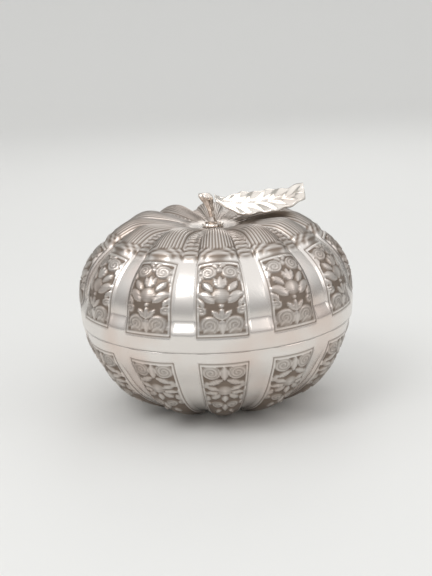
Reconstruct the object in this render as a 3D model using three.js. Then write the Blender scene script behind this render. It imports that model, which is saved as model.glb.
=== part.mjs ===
// A lidded silver box in the form of a melon, raised from sheet in two lobed halves.
// The bowl carries an upright collar inside its mouth. The lid drops over the collar on a lining strip
// of its own, and lifts off by a stalk and leaf that are riveted through the lid's crown.
// Millimetres, +Z up. The front lobe faces -Y and the leaf points along +X.
import * as THREE from 'three';

// Body: the outer form, measured over the crests of the lobes and from the seam between the halves.
const lobeCount = 12;
const bellyRadius = 45.6;
const bellyAboveSeam = 7.7;
const domeHeight = 27.4; // from the belly to where the lid's curve would close
const dishDepth = 5.6; // how far the crown sinks at the stalk
const dishRadius = 27;
const lidSquareness = 2.3; // exponent of the lid's curve: 2 is an ellipse
const bowlSquareness = 2.4;
const baseBelowSeam = 30.4; // the flats under the lobes that the box stands on
const bowlCurveBelowBase = 1.9; // how far under the flats the bowl's curve would close
const footInnerRadius = 12.5; // where those flats end and the base turns up
const baseKick = 1.4; // how far the middle of the base is pushed up
const sheetThickness = 0.9;
const seamGap = 0.1;

// Lobes: each is a panel, and a plain sunk band runs between it and the next.
const panelHalfAngle = 10.4;
const panelEdgeAngle = 0.8; // the slope from a panel's edge down into the band
const panelRounding = 2.4; // how late a panel's crown falls away to its edges
const panelEdgeShare = 0.72; // the share of the band's depth that the panel's crown takes
const flatShareOfPanel = 0.6; // how much of each panel's width is worn flat where the box stands on it
const lidBandDepth = 2.0;
const bowlBandDepth = 2.4;
const bowlRimBandDepth = 0.8;
const lidBandStart = 5.2; // heights over the seam at which the lid's bands begin and reach their depth
const lidBandFull = 10;
const bowlBandStart = 3; // depths below the seam, likewise
const bowlBandFull = 14;
const crownBandRadius = 24; // the bands run out on the crown between this radius and its quarter

// Medallion: the raised calyx round the stalk, one petal over each panel and a scallop over each band.
const medallionRadius = 34.2;
const medallionStep = 0.55;
const medallionStepRun = 0.6;
const petalTip = 1.5; // how far a petal's tip passes the medallion's radius
const scallopTip = 0.5;
const petalRise = 1.1;
const petalCrestRadius = 26.5;
const petalCrestWidth = 5.5;

// Collar and lining: the two round strips that the lobed halves close on.
const collarThickness = 0.8;
const collarBelowSeam = 3;
const collarAboveSeam = 4.5;
const liningHeight = 5.2;
const solderGap = 0.1; // between a strip and the shell that it is soldered to
const lidFit = 0.22; // between the collar and the lid's lining, all round

// Finial: the stalk, its rosette and beaded ring, its leaf, and the washer that it is riveted over.
const tangRadius = 0.8;
const tangFit = 0.3;
const crownSeatRadius = 4.2;
const rosetteRadius = 2.3;
const rosetteThickness = 0.8;
const rosettePetals = 8;
const beadRadius = 0.55;
const beadCount = 16;
const stalkHeight = 10.2;
const stalkFootRadius = 1.5;
const stalkWaistRadius = 0.95;
const stalkTopRadius = 2.35;
const stalkLean = 2.6; // how far the top of the stalk leans away from the leaf
const stalkRibs = 6;
const washerRadius = 3.4;
const washerThickness = 0.6;
const rivetHeadRadius = 1.7;
const rivetHeadHeight = 0.9;
const leafLength = 30;
const leafHalfWidth = 9.6;
const leafThickness = 0.8;
const leafSag = 2.6; // how far the middle of the midrib hangs below the leaf's joint with the stalk
const leafTipRise = 1.6; // how far its tip turns up again
const leafFold = 2.2; // how far the leaf's far edge stands above its midrib
const leafDroop = 1.8; // how far its near edge hangs below it
const leafGap = 0.2;

const pitchAngle = 360 / lobeCount;
const bowlCurveDepth = bellyAboveSeam + baseBelowSeam + bowlCurveBelowBase;
const degrees = THREE.MathUtils.degToRad;
const smooth = (value, from, to) => THREE.MathUtils.smoothstep(value, from, to);
const bump = (distance, width) => Math.exp(-((distance / width) ** 2));

const wallSilver = new THREE.MeshStandardMaterial({ color: 0xd9d5cb, roughness: 0.28, metalness: 1 });
const liningSilver = new THREE.MeshStandardMaterial({ color: 0xe2dfd6, roughness: 0.22, metalness: 1 });
const finialSilver = new THREE.MeshStandardMaterial({ color: 0xe4dfd0, roughness: 0.18, metalness: 1 });

// The outer curve over the lobes' crests, as a point (radius, height over the seam). The turn is an
// angle in radians: 0 at the belly, a quarter turn at the lid's crown, minus a quarter under the bowl.
function envelope(turn) {
  const above = turn >= 0;
  const squareness = above ? lidSquareness : bowlSquareness;
  const rise = above ? domeHeight : -bowlCurveDepth;
  const radius = bellyRadius * Math.cos(turn) ** (2 / squareness);
  const height = bellyAboveSeam + rise * Math.abs(Math.sin(turn)) ** (2 / squareness);
  const inDish = above ? Math.max(0, 1 - (radius / dishRadius) ** 2) : 0;
  return new THREE.Vector2(radius, height - dishDepth * inDish ** 2);
}

function turnAtRadius(radius) {
  return Math.acos((radius / bellyRadius) ** (lidSquareness / 2));
}

function turnAtHeight(height) {
  const above = height >= bellyAboveSeam;
  const squareness = above ? lidSquareness : bowlSquareness;
  const share = Math.abs(height - bellyAboveSeam) / (above ? domeHeight : bowlCurveDepth);
  const turn = Math.asin(share ** (squareness / 2));
  return above ? turn : -turn;
}

function outwardNormal(turn) {
  const step = 1e-3;
  const along = envelope(turn + step).sub(envelope(turn - step)).normalize();
  return new THREE.Vector2(along.y, -along.x);
}

// How deep a place round the box lies in its band: 0 on a panel's crest, 1 in the band.
function bandShare(angle) {
  const fromCrest = Math.abs(angle);
  if (fromCrest <= panelHalfAngle) {
    return panelEdgeShare * (fromCrest / panelHalfAngle) ** panelRounding;
  }
  return THREE.MathUtils.lerp(
    panelEdgeShare, 1, Math.min(1, (fromCrest - panelHalfAngle) / panelEdgeAngle));
}

function lidBandDepthAt(point) {
  const overRim = smooth(point.y, lidBandStart, lidBandFull);
  return lidBandDepth * overRim * smooth(point.x, crownBandRadius / 4, crownBandRadius);
}

function bowlBandDepthAt(point) {
  const full = smooth(-point.y, bowlBandStart, bowlBandFull);
  return THREE.MathUtils.lerp(bowlRimBandDepth, bowlBandDepth, full);
}

// How far the medallion's edge passes its radius: a wide petal over the panel, a scallop over the band.
function medallionReach(angle) {
  const fromCrest = Math.abs(angle);
  const halfPetal = panelHalfAngle + panelEdgeAngle / 2;
  if (fromCrest < halfPetal) return petalTip * Math.cos((fromCrest / halfPetal) * (Math.PI / 2));
  const fromBand = (pitchAngle / 2 - fromCrest) / (pitchAngle / 2 - halfPetal);
  return scallopTip * Math.cos(fromBand * (Math.PI / 2));
}

// The angles at which a lobed shell has its vertices, each with its angle from the nearest lobe's crest.
function lobeAngles() {
  const half = [0, flatShareOfPanel * panelHalfAngle, panelHalfAngle, panelHalfAngle + panelEdgeAngle];
  const inOnePitch = [...half, pitchAngle / 2, ...half.slice(1).reverse().map((a) => pitchAngle - a)];
  return Array.from({ length: lobeCount }, (_, lobe) =>
    inOnePitch.map((a) => ({
      around: degrees(lobe * pitchAngle + a),
      fromCrest: a > pitchAngle / 2 ? a - pitchAngle : a,
    }))).flat();
}

// A body of revolution whose section changes as it goes round. sectionAt(place) gives the closed
// section at one of the places round the axis, always with as many points, anticlockwise.
function turned(places, sectionAt) {
  const sections = places.map(sectionAt);
  sections.push(sections[0]);
  const geometry = new THREE.LatheGeometry([...sections[0], sections[0][0]], places.length);
  const position = geometry.getAttribute('position');
  const ring = sections[0].length + 1;
  sections.forEach((section, i) => {
    const around = places[i % places.length].around;
    for (let j = 0; j < ring; j += 1) {
      const { x: radius, y: height } = section[j % section.length];
      position.setXYZ(i * ring + j, radius * Math.sin(around), -radius * Math.cos(around), height);
    }
  });
  return closed(geometry);
}

// The same for a plain round piece: points are (radius, height) pairs of its closed section.
function round(points, segments, shape = (point) => point) {
  const places = Array.from({ length: segments }, (_, i) => ({ around: (i / segments) * 2 * Math.PI }));
  const section = points.map(([radius, height]) => new THREE.Vector2(radius, height));
  return turned(places, (place) => section.map((point) => shape(point, place.around)));
}

function closed(geometry) {
  geometry.deleteAttribute('normal');
  geometry.deleteAttribute('uv');
  return geometry;
}

function piece(name, geometry, material) {
  const mesh = new THREE.Mesh(geometry, material);
  mesh.name = name;
  return mesh;
}

// The height of the crown's flat seat, and of the seam's round edges.
const crownSeatHeight = envelope(turnAtRadius(crownSeatRadius)).y;
const rimRadius = envelope(turnAtHeight(0)).x;
const crownBoreRadius = tangRadius + tangFit;

// The outer and inner walls of the lid meet at its round rim and at the bore for the stalk's tang.
function lidSection(place) {
  const reach = medallionReach(place.fromCrest);
  const share = bandShare(place.fromCrest);
  const outer = [];
  const inner = [];
  const station = (turn, lift) => {
    const point = envelope(turn);
    const normal = outwardNormal(turn);
    const out = lift - share * lidBandDepthAt(point);
    outer.push(point.clone().addScaledVector(normal, out));
    inner.push(point.clone().addScaledVector(normal, out - sheetThickness));
  };
  for (const share of [0.3, 0.5, 0.68, 0.8, 0.9, 1]) {
    const radius = share * medallionRadius + reach * share ** 4;
    const crest = petalRise * bump(radius - petalCrestRadius, petalCrestWidth);
    const onPetal = Math.cos(degrees((90 * Math.abs(place.fromCrest)) / (pitchAngle / 2)));
    const lift = crest * onPetal + medallionStep * smooth(share, 0.2, 0.6);
    station(turnAtRadius(radius), lift);
  }
  const footRadius = medallionRadius + reach + medallionStepRun;
  station(turnAtRadius(footRadius), 0);
  const footHeight = envelope(turnAtRadius(footRadius)).y;
  for (const share of [0.75, 0.48, 0.22]) {
    station(turnAtHeight(THREE.MathUtils.lerp(bellyAboveSeam, footHeight, share)), 0);
  }
  for (const height of [bellyAboveSeam, lidBandStart, lidBandStart / 2]) {
    station(turnAtHeight(height), 0);
  }
  const seatEdge = (height) => new THREE.Vector2(crownSeatRadius, height);
  const boreEdge = (height) => new THREE.Vector2(crownBoreRadius, height);
  const underSeat = crownSeatHeight - sheetThickness;
  return [
    new THREE.Vector2(rimRadius - sheetThickness, 0), new THREE.Vector2(rimRadius, 0),
    ...outer.reverse(), seatEdge(crownSeatHeight), boreEdge(crownSeatHeight),
    boreEdge(underSeat), seatEdge(underSeat), ...inner,
  ];
}

// The bowl's outer wall runs from its rim to the flats under the lobes, and its inner wall follows it.
function bowlSection(place) {
  const share = bandShare(place.fromCrest);
  const rimHeight = -seamGap;
  const footRadius = envelope(turnAtHeight(-baseBelowSeam)).x;
  const outer = [];
  const inner = [];
  for (const depth of [0.1, 0.25, 0.42, 0.6, 0.77, 0.92]) {
    const turn = turnAtHeight(-depth * baseBelowSeam);
    const point = envelope(turn);
    const normal = outwardNormal(turn);
    const out = -share * bowlBandDepthAt(point);
    outer.push(point.clone().addScaledVector(normal, out));
    inner.push(point.clone().addScaledVector(normal, out - sheetThickness));
  }
  // Under the box the bands are sunk straight up, and fade out where the base turns up to its middle.
  const wornShare = bandShare(flatShareOfPanel * panelHalfAngle);
  const sunkShare = Math.max(0, share - wornShare);
  for (const run of [0, 1]) {
    const radius = THREE.MathUtils.lerp(footRadius, footInnerRadius, run);
    const sunk = sunkShare * bowlBandDepth * (1 - 0.85 * run);
    outer.push(new THREE.Vector2(radius, -baseBelowSeam + sunk));
    inner.push(new THREE.Vector2(radius - 0.35 * (1 - run), -baseBelowSeam + sunk + sheetThickness));
  }
  const kickRun = 0.6;
  const kickHeight = -baseBelowSeam + 0.85 * baseKick;
  outer.push(new THREE.Vector2(footInnerRadius * (1 - kickRun), kickHeight));
  inner.push(new THREE.Vector2(footInnerRadius * (1 - kickRun), kickHeight + sheetThickness));
  const middle = -baseBelowSeam + baseKick;
  const rim = rimRadius - share * bowlRimBandDepth;
  return [
    new THREE.Vector2(0, middle), ...outer.reverse(),
    new THREE.Vector2(rim, rimHeight), new THREE.Vector2(rim - sheetThickness, rimHeight),
    ...inner, new THREE.Vector2(0, middle + sheetThickness),
  ];
}

// A flat strip bent to a ring.
function strip(outerRadius, thickness, low, high) {
  const innerRadius = outerRadius - thickness;
  return round([[innerRadius, low], [outerRadius, low], [outerRadius, high], [innerRadius, high]], 96);
}

// The collar is as wide as the bowl's mouth allows where the bands narrow it most.
const collarRadius =
  envelope(turnAtHeight(-collarBelowSeam)).x - bowlRimBandDepth - sheetThickness - solderGap;
const liningRadius = rimRadius - sheetThickness - solderGap;
const liningThickness = liningRadius - collarRadius - lidFit;

function rosette() {
  const low = crownSeatHeight;
  const high = low + rosetteThickness;
  const mid = low + rosetteThickness / 2;
  const scalloped = (point, around) => {
    const petal = 0.88 + 0.12 * Math.abs(Math.cos((rosettePetals / 2) * around));
    return point.x > rosetteRadius / 2 ? new THREE.Vector2(point.x * petal, point.y) : point;
  };
  const bore = crownBoreRadius;
  const points = [
    [bore, low], [rosetteRadius * 0.9, low], [rosetteRadius, mid], [rosetteRadius * 0.8, high], [bore, high]];
  return round(points, rosettePetals * 4, scalloped);
}

// A wire swaged into beads and bent round the rosette, resting on the crown's seat.
function beadedRing() {
  const ringRadius = rosetteRadius + beadRadius + tangFit;
  const stepsPerBead = 4;
  const places = Array.from({ length: beadCount * stepsPerBead }, (_, i) => ({
    around: (i / (beadCount * stepsPerBead)) * 2 * Math.PI,
    swell: 0.72 + 0.28 * Math.abs(Math.cos((Math.PI * i) / stepsPerBead)),
  }));
  const sides = 6;
  return turned(places, (place) => Array.from({ length: sides }, (_, i) => {
    const turn = (i / sides) * 2 * Math.PI;
    const radius = beadRadius * place.swell;
    return new THREE.Vector2(
      ringRadius + radius * Math.cos(turn), crownSeatHeight + beadRadius * (1 + place.swell * Math.sin(turn)));
  }));
}

// The stalk stands on the rosette. Its tang goes down through rosette, crown and washer to a riveted head.
const stalkFoot = crownSeatHeight + rosetteThickness;
const washerTop = crownSeatHeight - sheetThickness;
const rivetTop = washerTop - washerThickness;

function stalk() {
  const top = stalkFoot + stalkHeight;
  const points = [
    [0, rivetTop - rivetHeadHeight], [rivetHeadRadius * 0.7, rivetTop - rivetHeadHeight],
    [rivetHeadRadius, rivetTop - rivetHeadHeight * 0.4], [rivetHeadRadius, rivetTop],
    [tangRadius, rivetTop], [tangRadius, stalkFoot],
    [stalkFootRadius, stalkFoot], [stalkFootRadius, stalkFoot + 0.08 * stalkHeight],
    [stalkWaistRadius, stalkFoot + 0.22 * stalkHeight], [stalkWaistRadius * 1.1, stalkFoot + 0.42 * stalkHeight],
    [stalkTopRadius * 0.66, stalkFoot + 0.64 * stalkHeight], [stalkTopRadius * 0.92, stalkFoot + 0.8 * stalkHeight],
    [stalkTopRadius, stalkFoot + 0.9 * stalkHeight], [stalkTopRadius * 0.78, stalkFoot + 0.98 * stalkHeight], [0, top]];
  const ribbed = (point, around) => {
    const up = smooth(point.y, stalkFoot, top);
    return new THREE.Vector2(point.x * (1 + 0.12 * up * Math.cos(stalkRibs * around)), point.y);
  };
  const geometry = round(points, stalkRibs * 4, ribbed);
  const position = geometry.getAttribute('position');
  for (let i = 0; i < position.count; i += 1) {
    position.setX(i, position.getX(i) + stalkShift(position.getZ(i)));
  }
  return geometry;
}

// The stalk's axis leans away from the leaf, ever more towards its top.
function stalkShift(height) {
  const up = Math.max(0, height - stalkFoot) / stalkHeight;
  return -stalkLean * up ** 2;
}

// Half the leaf's width at a share of its length: two side lobes and a blunt tip.
function leafHalfWidthAt(run) {
  const blade = Math.sin(Math.PI * Math.min(1, 0.08 + 0.88 * run) ** 0.8) ** 0.75;
  const lobes = 1 + 0.14 * Math.cos(2 * Math.PI * (3.1 * run - 0.95));
  return leafHalfWidth * (0.1 + 0.82 * blade * lobes);
}

// The leaf is one sheet, hung from the stalk's head: its midrib sags and turns up, and it tilts to -Y.
function leaf() {
  const geometry = new THREE.BoxGeometry(1, 2, 1, 18, 6, 1);
  const position = geometry.getAttribute('position');
  const joint = stalkFoot + 0.86 * stalkHeight;
  const start = stalkShift(joint) + stalkTopRadius * 1.12 + leafGap;
  for (let i = 0; i < position.count; i += 1) {
    const run = position.getX(i) + 0.5;
    const across = position.getY(i);
    const midrib = joint - leafSag * Math.sin(Math.PI * Math.min(1, run * 1.05) ** 0.62) ** 1.2
      - (leafSag - leafTipRise) * smooth(run, 0.3, 1);
    const tilt = across > 0 ? leafFold * across ** 2 : -leafDroop * across ** 2;
    const spread = smooth(run, 0, 0.35);
    position.setXYZ(i,
      start + leafLength * run,
      across * leafHalfWidthAt(run),
      midrib + tilt * spread + leafThickness * position.getZ(i));
  }
  return closed(geometry);
}

function washer() {
  const low = washerTop - washerThickness;
  return round(
    [[crownBoreRadius, low], [washerRadius, low], [washerRadius, washerTop], [crownBoreRadius, washerTop]], 32);
}

const bowl = new THREE.Group();
bowl.add(
  piece('bowl_shell', turned(lobeAngles(), bowlSection), wallSilver),
  piece('bowl_collar', strip(collarRadius, collarThickness, -collarBelowSeam, collarAboveSeam), liningSilver));

const lid = new THREE.Group();
lid.add(
  piece('lid_shell', turned(lobeAngles(), lidSection), wallSilver),
  piece('lid_lining', strip(liningRadius, liningThickness, 0, liningHeight), liningSilver),
  piece('finial_rosette', rosette(), finialSilver),
  piece('finial_beaded_ring', beadedRing(), finialSilver),
  piece('finial_stalk', stalk(), finialSilver),
  piece('finial_leaf', leaf(), finialSilver),
  piece('finial_washer', washer(), liningSilver));

// The part's origin is on the surface that it stands on, below its middle.
const box = new THREE.Group();
box.position.z = baseBelowSeam;
box.add(bowl, lid);

export default box;
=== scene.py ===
"""A lidded silver box in the form of a melon: chased panels, plain sunk bands, a calyx on the crown
and a stalk with one leaf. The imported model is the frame, and the finely chased pieces stand for its
shells. Sizes are in millimetres over the seam between lid and bowl, and the frame is in metres."""
import math

import bmesh
import bpy
import numpy as np
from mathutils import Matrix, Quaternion, Vector


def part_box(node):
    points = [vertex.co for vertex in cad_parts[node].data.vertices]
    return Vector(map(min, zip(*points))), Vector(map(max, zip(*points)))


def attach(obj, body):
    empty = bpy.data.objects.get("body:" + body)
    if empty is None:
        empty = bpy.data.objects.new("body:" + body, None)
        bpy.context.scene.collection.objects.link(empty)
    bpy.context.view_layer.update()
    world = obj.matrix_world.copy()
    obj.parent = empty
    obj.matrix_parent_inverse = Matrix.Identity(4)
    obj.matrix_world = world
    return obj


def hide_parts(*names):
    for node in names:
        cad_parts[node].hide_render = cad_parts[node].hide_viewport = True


MM = 0.001
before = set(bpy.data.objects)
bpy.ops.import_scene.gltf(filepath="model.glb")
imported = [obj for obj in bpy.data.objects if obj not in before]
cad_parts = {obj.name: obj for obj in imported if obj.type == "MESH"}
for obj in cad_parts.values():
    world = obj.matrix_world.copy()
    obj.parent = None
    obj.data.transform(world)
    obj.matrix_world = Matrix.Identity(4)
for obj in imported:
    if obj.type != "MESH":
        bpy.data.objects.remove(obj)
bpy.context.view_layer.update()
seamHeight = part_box("lid_shell")[0][2] / MM

# Values that set how each piece looks.
shell = {
    "lobes": 12,
    "bellyRadius": 45.6,
    "bellyHeight": 7.7,
    "domeHeight": 27.4,
    "dishDepth": 5.6,
    "dishRadius": 27,
    "lidSquareness": 2.3,
    "bowlDepth": 40,
    "bowlSquareness": 2.4,
    "baseDepth": 30.4,
    "thickness": 0.9,
    "samplesPerLobe": 52,
}
lobe = {
    "panelHalfAngle": 10.4,
    "edgeAngle": 0.5,
    "rounding": 2.4,
    "edgeShare": 0.72,
    "lidBandDepth": 2.0,
    "bowlBandDepth": 2.4,
    "rimBandDepth": 0.8,
}
medallion = {"radius": 34.2, "petalTip": 1.5, "scallopTip": 0.5, "step": 0.55, "rise": 1.1,
             "crestRadius": 26.5, "crestWidth": 5.5, "hatchHeight": 0.34, "ridgePitch": 1.15}
relief = {"height": 0.55, "groundDepth": 0.32, "lineDepth": 0.3, "frameShare": 0.87, "lineShare": 0.95,
          "motifWidth": 0.84}
finial = {"height": 10.2, "lean": 2.6, "leafLength": 29.6, "leafHalfWidth": 9.6,
          "leafThickness": 0.7, "veins": 7, "sag": 2.6, "fold": 2.2, "droop": 1.8}
camera = {"distance": 360, "elevation": 16, "turn": -1.75, "roll": -2.7, "lens": 66.5, "aim": 8.3}


def smooth(value, low, high):
    t = np.clip((value - low) / (high - low), 0, 1)
    return t * t * (3 - 2 * t)


def ridge(distance, width):
    return np.exp(-((distance / width) ** 2))


# The outer curve over the lobes' crests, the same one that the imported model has.
def envelope(turn):
    above = turn >= 0
    square = np.where(above, shell["lidSquareness"], shell["bowlSquareness"])
    rise = np.where(above, shell["domeHeight"], -shell["bowlDepth"])
    radius = shell["bellyRadius"] * np.cos(turn) ** (2 / square)
    height = shell["bellyHeight"] + rise * np.abs(np.sin(turn)) ** (2 / square)
    inDish = np.where(above, np.clip(1 - (radius / shell["dishRadius"]) ** 2, 0, 1), 0)
    return radius, height - shell["dishDepth"] * inDish**2


def turnAtRadius(radius):
    return np.arccos((radius / shell["bellyRadius"]) ** (shell["lidSquareness"] / 2))


def turnAtHeight(height):
    above = height >= shell["bellyHeight"]
    square = shell["lidSquareness"] if above else shell["bowlSquareness"]
    span = shell["domeHeight"] if above else shell["bowlDepth"]
    turn = math.asin((abs(height - shell["bellyHeight"]) / span) ** (square / 2))
    return turn if above else -turn


def meridian(points):
    """Radius, height, outward normal and arc length at each of the turns of a meridian."""
    radius, height = envelope(points)
    alongRadius, alongHeight = np.gradient(radius), np.gradient(height)
    length = np.hypot(alongRadius, alongHeight)
    sign = 1 if points[-1] > points[0] else -1
    arc = np.concatenate([[0], np.cumsum(np.hypot(np.diff(radius), np.diff(height)))])
    return radius, height, sign * alongHeight / length, -sign * alongRadius / length, arc


# Motifs: each is a height over the ground, from 0 to about 1, at places (x, y) in millimetres.
def dome(x, y, cx, cy, radius):
    d = np.hypot(x - cx, y - cy) / radius
    return np.sqrt(np.clip(1 - d * d, 0, 1))


def volute(x, y, cx, cy, radius, hand):
    dx, dy = (x - cx) * hand, y - cy
    d = np.hypot(dx, dy)
    spiral = 0.5 + 0.5 * np.cos(2 * math.pi * (d / 0.95) - np.arctan2(dy, dx))
    return (0.35 + 0.65 * spiral) * smooth(radius - d, 0, 0.35)


def petal(x, y, cx, cy, angle, length, width, lines=5):
    """An almond with its foot at (cx, cy), pointing at the angle from +Y towards +X, with fine lines."""
    a = math.radians(angle)
    along = ((x - cx) * math.sin(a) + (y - cy) * math.cos(a)) / length
    across = (x - cx) * math.cos(a) - (y - cy) * math.sin(a)
    half = width * np.sin(math.pi * np.clip(along, 0, 1)) ** 0.7
    share = np.abs(across) / np.maximum(half, 1e-3)
    inside = smooth(1 - share, 0, 0.25) * (along > 0) * (along < 1)
    hatch = 0.5 + 0.5 * np.cos(math.pi * lines * share)
    return inside * (0.55 + 0.25 * np.clip(1 - share, 0, 1) + 0.2 * hatch)


def hatchedDome(x, y, cx, cy, radius):
    cross = np.cos(2 * math.pi * (x + y) / 0.9) * np.cos(2 * math.pi * (x - y) / 0.9)
    return dome(x, y, cx, cy, radius) * (0.82 + 0.18 * cross)


def highest(*fields):
    return np.maximum.reduce(fields)


def lidMotifs(x, y):
    side = np.abs(x)
    return highest(
        volute(side, y, 3.2, 4.2, 2.8, 1), petal(x, y, 0, 1.4, 0, 4.6, 1.1),
        petal(side, y, 0.3, 5.9, 38, 3.4, 0.8), petal(x, y, 0, 6.2, 0, 3, 0.8),
        volute(side, y, 5.2, 8.4, 1.5, -1),
        hatchedDome(x, y, 0, 13, 2.3), dome(x, y, 0, 10, 0.6),
        petal(side, y, 1.6, 10.8, 52, 4.4, 1.2), petal(side, y, 2.2, 12.8, 75, 4.2, 1.3),
        petal(side, y, 2, 14.3, 40, 4.2, 1.1), petal(side, y, 0.4, 15.2, 18, 3.6, 0.9),
        petal(x, y, 0, 15.4, 0, 3.8, 0.9),
        volute(side, y, 3, 20.6, 2.4, -1), hatchedDome(x, y, 0, 21.4, 1),
        petal(side, y, 0.4, 22.2, 35, 2.8, 0.8), petal(side, y, 5.4, 17.4, 0, 2.6, 0.8),
        petal(side, y, 6.6, 6.2, 10, 3.6, 0.9), petal(side, y, 6.8, 10.2, -8, 4, 0.9),
        petal(side, y, 4.4, 9.6, 30, 3.2, 0.8), petal(side, y, 6.6, 15, -12, 3.4, 0.8),
        petal(side, y, 6.6, 1.7, -10, 2.6, 0.8), volute(side, y, 5.6, 21.4, 1.3, 1))


def bowlMotifs(x, y):
    side = np.abs(x)
    return highest(
        volute(side, y, 3.5, 3.6, 2.7, 1), petal(x, y, 0, 1.2, 0, 5.2, 1.2),
        petal(side, y, 0.6, 6.2, 60, 4.6, 1.1),
        hatchedDome(x, y, 0, 11, 2.1), petal(side, y, 1.3, 12.4, 40, 3.6, 1.1),
        petal(side, y, 1.5, 10.4, 100, 3.6, 1.1), petal(side, y, 1.8, 11.6, 72, 3.6, 1),
        petal(x, y, 0, 13, 0, 3.4, 1), volute(side, y, 2.1, 18.4, 1.8, -1),
        petal(x, y, 0, 18, 0, 4.4, 0.9), petal(side, y, 1.5, 22, 20, 3.4, 0.8),
        petal(side, y, 6.7, 6.4, 0, 4, 0.9), petal(side, y, 6.2, 11, -6, 4.2, 1),
        petal(side, y, 4.4, 7.4, 20, 3.2, 0.8), petal(side, y, 4.6, 14, 10, 3.4, 0.9),
        petal(side, y, 6.8, 1.5, -8, 3, 0.8), volute(side, y, 5, 18.6, 1.3, 1))


def bandShare(fromCrest):
    """0 on a panel's crest, 1 in the plain band beside it."""
    a = np.abs(fromCrest)
    crown = lobe["edgeShare"] * np.clip(a / lobe["panelHalfAngle"], 0, 1) ** lobe["rounding"]
    edge = np.clip((a - lobe["panelHalfAngle"]) / lobe["edgeAngle"], 0, 1)
    return crown + (1 - lobe["edgeShare"]) * edge * (a > lobe["panelHalfAngle"])


def panelRelief(fromCrest, radius, y, length, motifs):
    """The chased height over a panel, and how far each place is ornament (1) or plain (0)."""
    across = fromCrest / lobe["panelHalfAngle"]
    full = math.radians(lobe["panelHalfAngle"]) * shell["bellyRadius"]
    onPanel = (y > 0) & (y < length)
    endDistance = np.minimum(y, length - y)
    inner = smooth(relief["frameShare"] - np.abs(across), 0, 0.03) * smooth(endDistance, 1.3, 1.6)
    line = ridge((np.abs(across) - relief["lineShare"]) * full, 0.16) * smooth(endDistance, 0.3, 0.6)
    line = np.maximum(line, ridge(endDistance - 0.55, 0.26) * (np.abs(across) < relief["lineShare"]))
    narrow = np.clip(radius / shell["bellyRadius"], 0.3, 1)
    fade = smooth(radius, 8, 16)
    raised = motifs(across * full * relief["motifWidth"] * (0.45 + 0.55 * narrow), y)
    height = inner * fade * (relief["height"] * raised - relief["groundDepth"])
    ornament = np.maximum(inner * fade, smooth(line, 0.3, 0.7))
    return np.where(onPanel, height - relief["lineDepth"] * line, 0), np.where(onPanel, ornament, 0)


def calyx(fromCrest, radius):
    """The raised calyx: its height over the crown, and its share of ornament."""
    a = np.abs(fromCrest)
    half = lobe["panelHalfAngle"] + lobe["edgeAngle"] / 2
    pitch = 180 / shell["lobes"]
    onPetal = a < half
    petalReach = medallion["petalTip"] * np.cos(np.clip(a / half, 0, 1) * math.pi / 2)
    scallop = medallion["scallopTip"] * np.cos(np.clip((pitch - a) / (pitch - half), 0, 1) * math.pi / 2)
    inward = medallion["radius"] + np.where(onPetal, petalReach, scallop) - radius
    inside = smooth(inward, -0.25, 0.25)
    crest = ridge(radius - medallion["crestRadius"], medallion["crestWidth"])
    swell = medallion["rise"] * crest * np.cos(np.radians(90 * a / pitch))
    step = medallion["step"] * smooth(radius, 8, 20)
    ridges = 0.5 + 0.5 * np.cos(2 * math.pi * inward / medallion["ridgePitch"])
    rays = 0.5 + 0.5 * np.cos(2 * math.pi * 6 * fromCrest / half)
    chased = np.where(inward < 3.2, ridges, np.where(onPetal, rays, ridges)) * smooth(radius, 7, 12)
    between = ridge((a - half) * math.radians(1) * radius, 0.25) * smooth(radius, 6, 10)
    height = inside * (swell + step + medallion["hatchHeight"] * (chased - 0.5) - 0.3 * between)
    recess = inside * (0.75 * chased - 0.42) * smooth(radius, 7, 12)
    edge = ridge(inward, 0.3)
    return height - 0.15 * edge, np.maximum(inside * smooth(radius, 5, 9), edge), recess - 0.3 * edge


def shellMesh(name, outerR, outerZ, innerR, innerZ, ornament, height):
    """A closed lobed shell from its outer and inner grids, meridians along the rows."""
    count, samples = outerR.shape
    rows = innerR.shape[1]
    around = np.linspace(0, 2 * math.pi, count, endpoint=False)[:, None]

    def places(r, z):
        return np.stack([r * np.sin(around), -r * np.cos(around), z + seamHeight], -1) * MM

    points = np.concatenate([places(outerR, outerZ), places(innerR, innerZ)], 1)
    ring = samples + rows
    i = np.arange(count)[:, None]
    j = np.arange(ring)[None, :]
    a, b = i * ring + j, ((i + 1) % count) * ring + j
    following = np.broadcast_to((j + 1) % ring, a.shape)
    quads = np.stack([a, b, ((i + 1) % count) * ring + following, i * ring + following], -1).reshape(-1, 4)
    mesh = bpy.data.meshes.new(name)
    mesh.from_pydata(points.reshape(-1, 3).tolist(), [], quads.tolist())
    pad = np.zeros((count, rows))
    for key, values in (("ornament", ornament), ("relief", height)):
        layer = mesh.attributes.new(key, "FLOAT", "POINT")
        layer.data.foreach_set("value", np.concatenate([values, pad], 1).ravel().astype(np.float32))
    return finished(name, mesh)


def finished(name, mesh):
    """The mesh with coincident points joined and its faces outward and smooth, as an object in the scene."""
    bm = bmesh.new()
    bm.from_mesh(mesh)
    bmesh.ops.remove_doubles(bm, verts=bm.verts, dist=1e-7)
    bmesh.ops.recalc_face_normals(bm, faces=bm.faces)
    bm.to_mesh(mesh)
    bm.free()
    mesh.shade_smooth()
    piece = bpy.data.objects.new(name, mesh)
    bpy.context.scene.collection.objects.link(piece)
    return piece


def lobeAngles():
    count = shell["lobes"] * shell["samplesPerLobe"]
    pitch = 360 / shell["lobes"]
    angle = np.arange(count) * 360 / count
    return ((angle + pitch / 2) % pitch - pitch / 2)[:, None]


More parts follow.
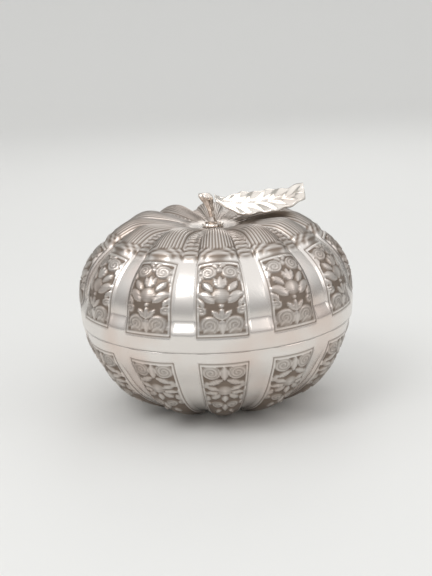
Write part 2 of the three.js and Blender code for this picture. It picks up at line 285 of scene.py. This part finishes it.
def lidShell():
    boreRadius = 1.15
    panelBottom = 4.6
    turns = np.concatenate([
        np.linspace(turnAtHeight(0), turnAtHeight(panelBottom), 6, endpoint=False),
        np.linspace(turnAtHeight(panelBottom), turnAtRadius(36.5), 84, endpoint=False),
        turnAtRadius(np.linspace(36.5, 4.2, 46))])
    radius, height, outR, outZ, arc = meridian(turns)
    fromCrest = lobeAngles()
    start = arc[6]
    length = np.interp(-(medallion["radius"] + 1.9), -radius, arc) - start
    chased, ornament = panelRelief(fromCrest, radius[None, :], arc[None, :] - start, length, lidMotifs)
    crown, crownOrnament, crownRecess = calyx(fromCrest, radius[None, :])
    band = lobe["lidBandDepth"] * smooth(height, 5.2, 10) * smooth(radius, 6, 24)
    share = bandShare(fromCrest)
    out = chased + crown - share * band[None, :]
    outerR, outerZ = radius + out * outR, height + out * outZ
    seat = np.full_like(fromCrest, 1.0)
    seatZ = float(envelope(turnAtRadius(np.array(4.2)))[1])
    outerR = np.concatenate([outerR, seat * boreRadius], 1)
    outerZ = np.concatenate([outerZ, seat * seatZ], 1)
    inside = slice(-1, None, -12)
    back = -shell["thickness"] - share * band[inside]
    innerR = np.concatenate([seat * boreRadius, radius[inside] + back * outR[inside]], 1)
    innerZ = np.concatenate([seat * (seatZ - shell["thickness"]), height[inside] + back * outZ[inside]], 1)
    innerR = np.concatenate([innerR, seat * (radius[0] - shell["thickness"])], 1)
    innerZ = np.concatenate([innerZ, seat * 0], 1)
    outerZ[:, 0] = 0
    pad = seat * 0
    ornament = np.maximum(ornament, crownOrnament)
    recess = np.concatenate([chased + crownRecess, pad], 1)
    ornament = np.concatenate([ornament, pad], 1)
    return shellMesh("lidBody", outerR, outerZ, innerR, innerZ, ornament, recess)


def bowlShell():
    rim = -0.1
    turns = np.linspace(turnAtHeight(rim), turnAtHeight(-shell["baseDepth"] * 0.985), 118)
    radius, height, outR, outZ, arc = meridian(turns)
    fromCrest = lobeAngles()
    panelTop = 3.2
    chased, ornament = panelRelief(fromCrest, radius[None, :], arc[None, :] - panelTop,
                                   arc[-1] - panelTop + 3, bowlMotifs)
    full = smooth(-height, 3, 14)
    band = lobe["rimBandDepth"] + (lobe["bowlBandDepth"] - lobe["rimBandDepth"]) * full
    share = bandShare(fromCrest)
    out = chased - share * band[None, :]
    outerR, outerZ = radius + out * outR, np.maximum(height + out * outZ, -shell["baseDepth"])
    one = np.full_like(fromCrest, 1.0)
    foot, middle = -shell["baseDepth"], -shell["baseDepth"] + 1.4
    # The lobes are worn flat where the box stands on them, over the part of the bands this shallow.
    wornShare, outerFoot, innerFoot, kickRadius, centre = 0.21, 17.4, 12.5, 5, 0.01
    sunk = np.clip(share - wornShare, 0, 1) * lobe["bowlBandDepth"]
    baseR = [one * outerFoot, one * innerFoot, one * kickRadius, one * centre]
    baseZ = [foot + sunk, foot + sunk * 0.15, one * middle, one * middle]
    inside = slice(-1, None, -10)
    back = -shell["thickness"] - share * band[inside]
    outerR, outerZ = np.concatenate([outerR, *baseR], 1), np.concatenate([outerZ, *baseZ], 1)
    innerR = np.concatenate([one * centre, one * innerFoot, radius[inside] + back * outR[inside]], 1)
    innerZ = np.concatenate([one * (middle + shell["thickness"]), one * (foot + 1.3),
                             height[inside] + back * outZ[inside]], 1)
    outerZ[:, 0] = rim
    innerR = np.concatenate([innerR, (outerR[:, :1] - shell["thickness"])], 1)
    innerZ = np.concatenate([innerZ, one * rim], 1)
    pad = np.zeros((len(fromCrest), 4))
    return shellMesh("bowlBody", outerR, outerZ, innerR, innerZ,
                     np.concatenate([ornament, pad], 1), np.concatenate([chased, pad], 1))


def gridMesh(name, columns, rows, place):
    """A closed sheet: place(u, v, side) gives a point for u and v from 0 to 1 on each of its two sides."""
    bm = bmesh.new()
    sides = [[[bm.verts.new(place(i / columns, j / rows, side)) for j in range(rows + 1)]
              for i in range(columns + 1)] for side in (1, -1)]
    for i in range(columns):
        for j in range(rows):
            for grid in sides:
                bm.faces.new((grid[i][j], grid[i + 1][j], grid[i + 1][j + 1], grid[i][j + 1]))
    top, under = sides
    rim = [(i, 0) for i in range(columns)] + [(columns, j) for j in range(rows)]
    rim += [(i, rows) for i in range(columns, 0, -1)] + [(0, j) for j in range(rows, 0, -1)]
    for (i, j), (k, m) in zip(rim, rim[1:] + rim[:1]):
        bm.faces.new((top[i][j], top[k][m], under[k][m], under[i][j]))
    mesh = bpy.data.meshes.new(name)
    bm.to_mesh(mesh)
    bm.free()
    return finished(name, mesh)


def leafPiece():
    """The leaf: one sheet that sags like a saddle, with chased veins, and turns up in a blunt curled tip."""
    low, high = (Vector(corner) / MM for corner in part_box("finial_leaf"))
    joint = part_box("finial_stalk")[1][2] / MM - 0.14 * finial["height"]
    middleY = (low.y + high.y) / 2

    def place(u, v, side):
        across = 2 * v - 1
        blade = math.sin(math.pi * min(1, 0.08 + 0.88 * u) ** 0.8) ** 0.75
        lobes = 1 + 0.14 * math.cos(2 * math.pi * (3.1 * u - 0.95))
        half = finial["leafHalfWidth"] * (0.1 + 0.82 * blade * lobes)
        sag = finial["sag"] * math.sin(math.pi * min(1, u * 1.05) ** 0.62) ** 1.2 + smooth(u, 0.3, 1)
        curl = 1.6 * smooth(u, 0.82, 1)
        tilt = (finial["fold"] if across > 0 else -finial["droop"]) * across * across * smooth(u, 0, 0.35)
        vein = 0.16 * math.cos(2 * math.pi * (finial["veins"] * u - 1.3 * abs(across)))
        midrib = 0.45 * math.exp(-((across * half / 0.7) ** 2))
        lift = side * finial["leafThickness"] / 2 + vein * smooth(half, 1, 3) + midrib
        x = low.x + 0.1 + finial["leafLength"] * u
        return Vector((x, middleY + across * half * 0.99, joint - sag + curl + tilt + lift - 0.3)) * MM

    return gridMesh("leafBlade", 90, 44, place)


def stalkPiece():
    """The stalk: a ribbed stem, leaning away from the leaf, that flares to a rounded head. Its tang
    goes down through the crown to a riveted head."""
    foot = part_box("finial_stalk")[1][2] / MM - finial["height"]
    heights = [0, 0.08, 0.22, 0.42, 0.64, 0.8, 0.9, 0.98, 1]
    radii = [1.5, 1.5, 0.95, 1.05, 1.55, 2.16, 2.35, 1.83, 0.02]
    samples, sides = 48, 48
    tang = [(0.02, -3.2), (1.2, -3.2), (1.7, -2.66), (1.7, -2.3), (0.8, -2.3), (0.8, 0)]
    shown = [(float(np.interp(k / samples, heights, radii)), finial["height"] * k / samples)
             for k in range(samples + 1)]
    bm = bmesh.new()
    rings = []
    for radius, height in tang + shown:
        t = max(0, height / finial["height"])
        shift = -finial["lean"] * t * t
        ring = []
        for m in range(sides):
            angle = 2 * math.pi * m / sides
            ribbed = radius * (1 + 0.1 * float(smooth(t, 0, 1)) * math.cos(6 * angle))
            ring.append(bm.verts.new(Vector((
                shift + ribbed * math.sin(angle), -ribbed * math.cos(angle), foot + height)) * MM))
        rings.append(ring)
    for lower, upper in zip(rings, rings[1:]):
        for m in range(sides):
            bm.faces.new((lower[m], lower[(m + 1) % sides], upper[(m + 1) % sides], upper[m]))
    bm.faces.new(reversed(rings[0]))
    bm.faces.new(rings[-1])
    mesh = bpy.data.meshes.new("stalkStem")
    bm.to_mesh(mesh)
    bm.free()
    return finished("stalkStem", mesh)


def linear(code):
    """An sRGB hex colour as the linear colour that Blender's sockets take."""
    parts = [int(code[i:i + 2], 16) / 255 for i in (1, 3, 5)]
    return (*[c / 12.92 if c <= 0.04045 else ((c + 0.055) / 1.055) ** 2.4 for c in parts], 1)


def addNode(tree, kind, inputs=None, **settings):
    node = tree.nodes.new(kind)
    for key, value in settings.items():
        setattr(node, key, value)
    for key, value in (inputs or {}).items():
        if isinstance(value, bpy.types.NodeSocket):
            tree.links.new(value, node.inputs[key])
        else:
            node.inputs[key].default_value = value
    return node


def silver(name, bright, recess, roughness, chased):
    """Hand-worked silver: burnished where it stands proud, a faint pinkish film of tarnish in clouds,
    dark warm tarnish in its recesses, and fine strokes of the burnisher that run up and down it."""
    material = bpy.data.materials.new(name)
    material.use_nodes = True
    tree = material.node_tree
    shader = tree.nodes["Principled BSDF"]
    shader.inputs["Metallic"].default_value = 1
    place = addNode(tree, "ShaderNodeTexCoord").outputs["Object"]
    tarnish = addNode(tree, "ShaderNodeTexNoise", {"Vector": place, "Scale": 95.0, "Detail": 4.0})
    if chased:
        depth = addNode(tree, "ShaderNodeAttribute", attribute_name="relief").outputs["Fac"]
        ornament = addNode(tree, "ShaderNodeAttribute", attribute_name="ornament").outputs["Fac"]
        hollow = addNode(tree, "ShaderNodeMapRange", {
            "Value": depth, "From Min": 0.3, "From Max": -0.32, "To Min": 0.18, "To Max": 1.0}).outputs[0]
        mask = addNode(tree, "ShaderNodeMath", {0: hollow, 1: ornament}, operation="MULTIPLY").outputs[0]
    else:
        mask = addNode(tree, "ShaderNodeMapRange", {
            "Value": tarnish.outputs["Fac"], "From Min": 0.5, "From Max": 0.8,
            "To Min": 0.0, "To Max": 0.35}).outputs[0]
    mix = addNode(tree, "ShaderNodeMix", {"Factor": mask}, data_type="RGBA")
    film = addNode(tree, "ShaderNodeTexNoise", {"Vector": place, "Scale": 55.0, "Detail": 2.0})
    filmShare = addNode(tree, "ShaderNodeMapRange", {
        "Value": film.outputs["Fac"], "From Min": 0.48, "From Max": 0.72, "To Min": 0.0, "To Max": 0.6})
    clean = addNode(tree, "ShaderNodeMix", {"Factor": filmShare.outputs[0]}, data_type="RGBA")
    clean.inputs[6].default_value = linear(bright)
    clean.inputs[7].default_value = linear("#dcc7bb")
    tree.links.new(clean.outputs[2], mix.inputs[6])
    mix.inputs[7].default_value = linear(recess)
    tree.links.new(mix.outputs[2], shader.inputs["Base Color"])
    rough = addNode(tree, "ShaderNodeMapRange", {
        "Value": mask, "From Min": 0.0, "From Max": 1.0, "To Min": roughness, "To Max": roughness + 0.22})
    tree.links.new(rough.outputs[0], shader.inputs["Roughness"])
    stretched = addNode(tree, "ShaderNodeMapping", {"Vector": place, "Scale": (1.0, 1.0, 0.08)})
    strokes = addNode(tree, "ShaderNodeTexNoise", {
        "Vector": stretched.outputs[0], "Scale": 1400.0, "Detail": 3.0})
    bump = addNode(tree, "ShaderNodeBump", {
        "Height": strokes.outputs["Fac"], "Strength": 0.16, "Distance": 0.0002})
    tree.links.new(bump.outputs[0], shader.inputs["Normal"])
    return material


def paint(piece, material):
    piece.data.materials.clear()
    piece.data.materials.append(material)


def addPiece(piece, body, material, slot, *nodes):
    paint(piece, material)
    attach(piece, body)
    if nodes:
        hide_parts(*nodes)
    print("made", piece.name, len(piece.data.polygons))


def plainMaterial(name, code, roughness):
    material = bpy.data.materials.new(name)
    material.use_nodes = True
    shader = material.node_tree.nodes["Principled BSDF"]
    shader.inputs["Base Color"].default_value = linear(code)
    shader.inputs["Roughness"].default_value = roughness
    return material


def addCamera():
    data = bpy.data.cameras.new("camera")
    data.sensor_width = 36
    data.lens = camera["lens"]
    data.clip_start = 0.01
    obj = bpy.data.objects.new("camera", data)
    bpy.context.scene.collection.objects.link(obj)
    up, turn = math.radians(camera["elevation"]), math.radians(camera["turn"])
    away = camera["distance"] * math.cos(up)
    obj.location = Vector((away * math.sin(turn), -away * math.cos(turn),
                           seamHeight + camera["distance"] * math.sin(up))) * MM
    aim = Vector((0, 0, seamHeight + camera["aim"])) * MM
    look = (aim - obj.location).to_track_quat("-Z", "Y")
    obj.rotation_mode = "QUATERNION"
    obj.rotation_quaternion = look @ Quaternion((0, 0, 1), math.radians(camera["roll"]))
    bpy.context.scene.camera = obj


def addLamp(name, place, size, watts):
    data = bpy.data.lights.new(name, "AREA")
    data.shape = "DISK"
    data.size = size
    data.energy = watts
    obj = bpy.data.objects.new(name, data)
    bpy.context.scene.collection.objects.link(obj)
    obj.location = place
    obj.rotation_mode = "QUATERNION"
    obj.rotation_quaternion = (Vector((0, 0, 0.03)) - obj.location).to_track_quat("-Z", "Y")


def sweep():
    """A sheet of pale paper that lies flat under the box and curves up far behind it."""
    turnY, curve, top, halfWidth = 0.9, 0.8, 2.6, 4
    arc = [(turnY + curve * math.sin(a), curve * (1 - math.cos(a)))
           for a in np.linspace(0, math.pi / 2, 24)]
    profile = [(-3, 0), (0, 0), *arc, (turnY + curve, top)]
    bm = bmesh.new()
    rows = [[bm.verts.new((x, y, z)) for x in (-halfWidth, halfWidth)] for y, z in profile]
    for near, far in zip(rows, rows[1:]):
        bm.faces.new((near[0], near[1], far[1], far[0]))
    mesh = bpy.data.meshes.new("floor")
    bm.to_mesh(mesh)
    bm.free()
    return finished("floor", mesh)


def addStudio():
    scene = bpy.context.scene
    scene.view_settings.view_transform = "Standard"
    world = bpy.data.worlds.new("studio")
    scene.world = world
    world.use_nodes = True
    tree = world.node_tree
    background = tree.nodes["Background"]
    direction = addNode(tree, "ShaderNodeTexCoord").outputs["Generated"]
    parts = addNode(tree, "ShaderNodeSeparateXYZ", {"Vector": direction})
    shade = addNode(tree, "ShaderNodeMapRange", {
        "Value": parts.outputs["Z"], "From Min": 0.0, "From Max": 0.7, "To Min": 0.3, "To Max": 1.05})
    seen = addNode(tree, "ShaderNodeLightPath").outputs["Is Camera Ray"]
    mix = addNode(tree, "ShaderNodeMix", {"Factor": seen}, data_type="RGBA")
    tree.links.new(shade.outputs[0], mix.inputs[6])
    mix.inputs[7].default_value = linear("#e3e3df")
    tree.links.new(mix.outputs[2], background.inputs["Color"])
    floor = sweep()
    paint(floor, plainMaterial("pale paper floor", "#e2e2e0", 0.7))
    addLamp("keyLamp", (-0.35, -0.35, 0.6), 0.35, 1.25)
    addLamp("fillLamp", (0.55, -0.3, 0.35), 0.4, 0.4)
    addLamp("backLamp", (0.1, 0.6, 0.5), 0.4, 0.6)


addCamera()
print("camera placed")
wall = silver("chased silver", "#e6e1dc", "#877a6f", 0.27, True)
lining = silver("scraped silver", "#e6e2de", "#a89d94", 0.3, False)
bright = silver("burnished silver", "#eee8e0", "#94796a", 0.2, False)
addPiece(lidShell(), "lid", wall, "wall_silver", "lid_shell")
addPiece(bowlShell(), "bowl", wall, "wall_silver", "bowl_shell")
addPiece(leafPiece(), "lid", bright, "finial_silver", "finial_leaf")
addPiece(stalkPiece(), "lid", bright, "finial_silver", "finial_stalk")
for node in ("bowl_collar", "lid_lining", "finial_washer"):
    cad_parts[node].material_slots[0].material = lining
for node in ("finial_rosette", "finial_beaded_ring"):
    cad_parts[node].material_slots[0].material = bright
addStudio()
print("studio placed")
